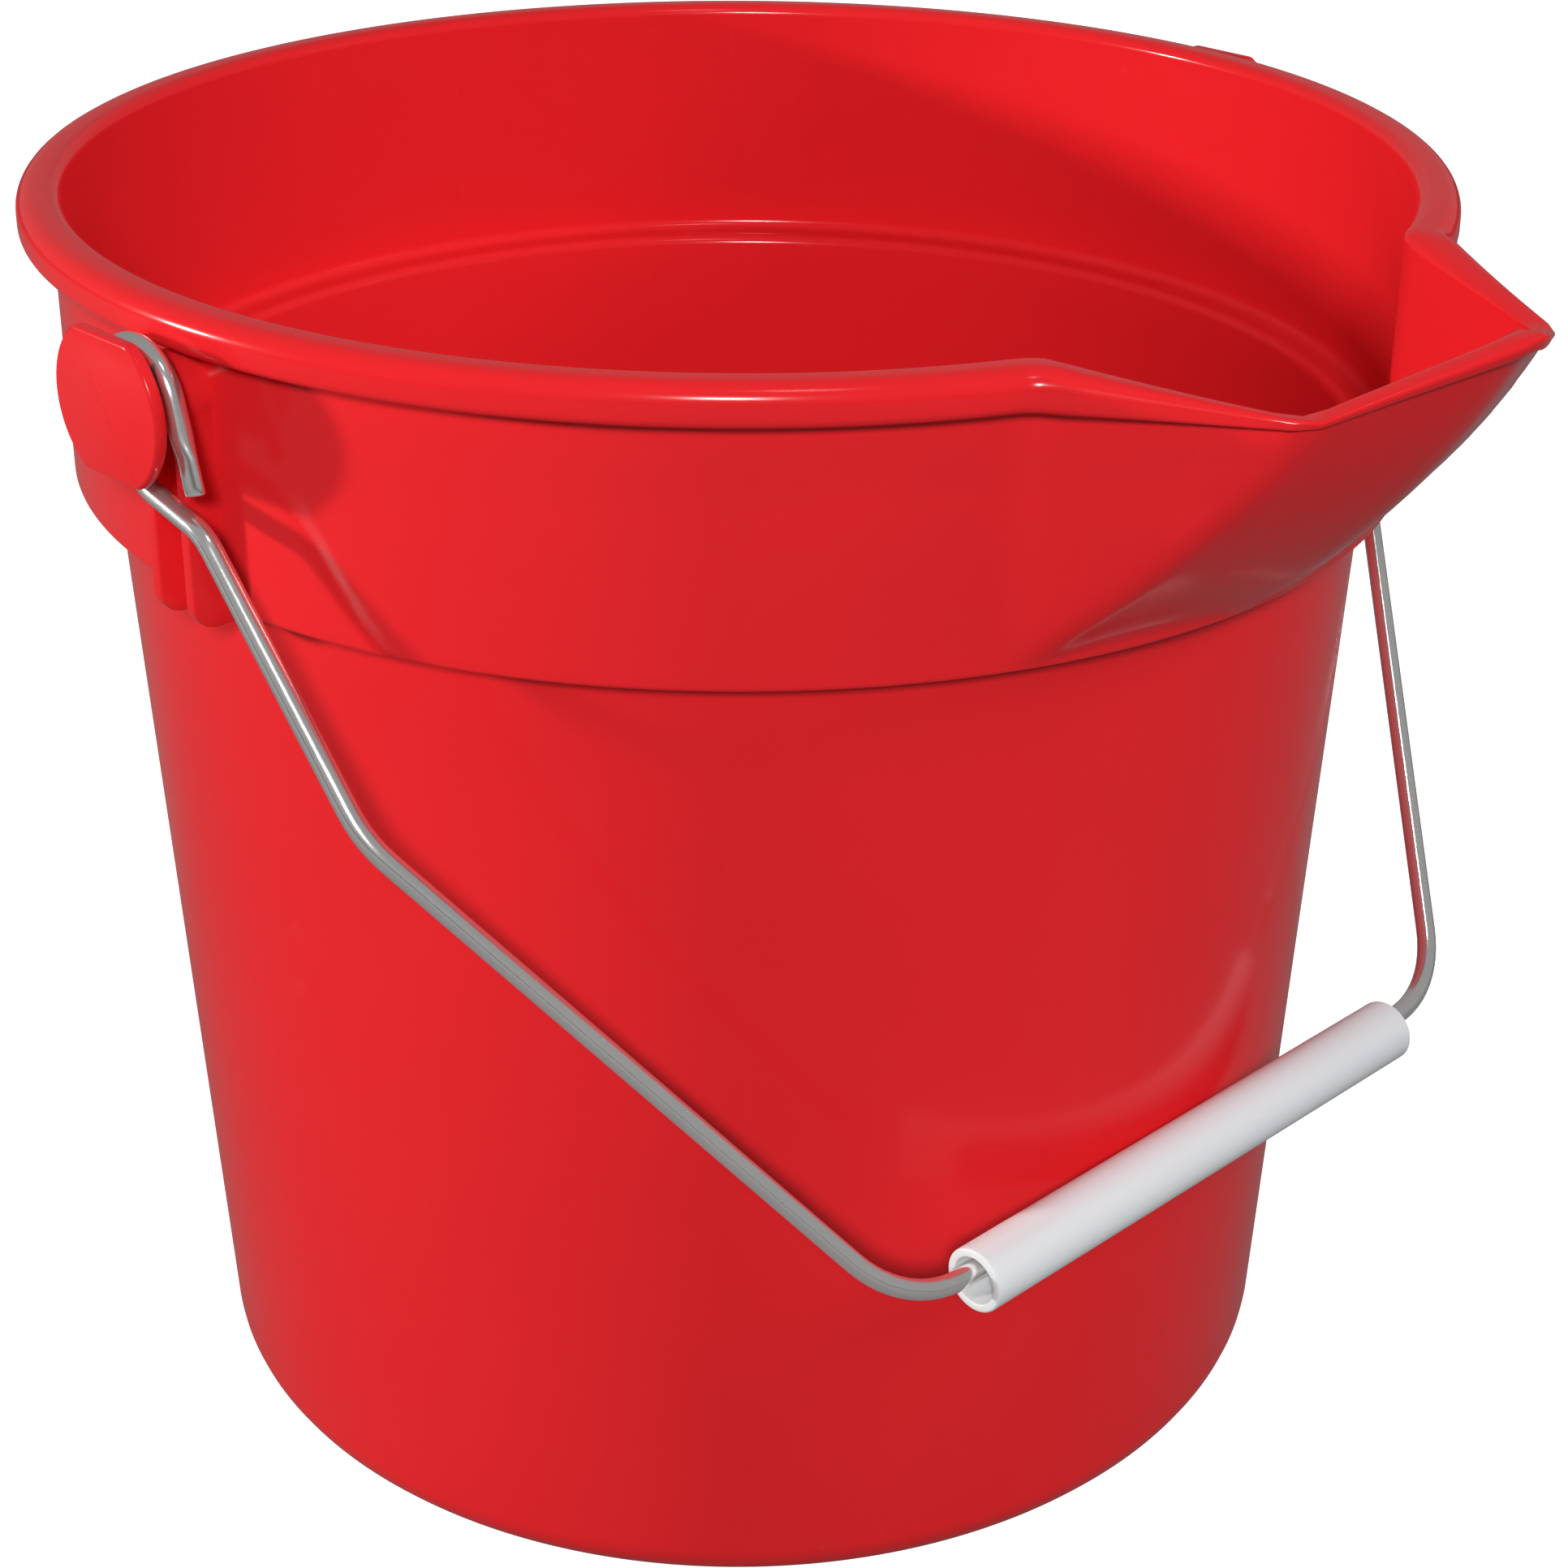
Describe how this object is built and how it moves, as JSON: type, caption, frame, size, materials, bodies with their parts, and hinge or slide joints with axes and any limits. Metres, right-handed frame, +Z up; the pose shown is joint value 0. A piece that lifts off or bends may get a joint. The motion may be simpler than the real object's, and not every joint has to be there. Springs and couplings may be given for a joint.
{
  "type": "wash bucket",
  "caption": "Round tapered plastic pail with a V-shaped pouring spout, a thick rolled rim, moulded ears, a swinging wire bail and a loose tubular hand grip.",
  "frame": {"origin": "centre of the pail's flat base, on the surface that it stands on", "axes": "+Z up, +X along the pouring spout, +Y towards the left ear; the bail swings about a line parallel to Y"},
  "size_m": [0.3107, 0.2864, 0.2544],
  "materials": {
    "pail_plastic": "moulded gloss red",
    "bail_wire": "bright zinc-plated drawn wire",
    "grip_plastic": "satin natural white"
  },
  "bodies": {
    "pail": {"pail": "pail_plastic", "left_ear": "pail_plastic", "right_ear": "pail_plastic"},
    "bail": {"bail": "bail_wire"},
    "grip": {"grip": "grip_plastic"}
  },
  "joints": [
    {"name": "bail_swing", "type": "hinge", "parent": "pail", "child": "bail", "pos_m": [0.002, 0, 0.232], "axis": [0, -1, 0], "range_deg": [0, 280]},
    {"name": "grip_spin", "type": "hinge", "parent": "bail", "child": "grip", "pos_m": [0.12078, 0, 0.08311], "axis": [0, 1, 0], "continuous": true}
  ]
}
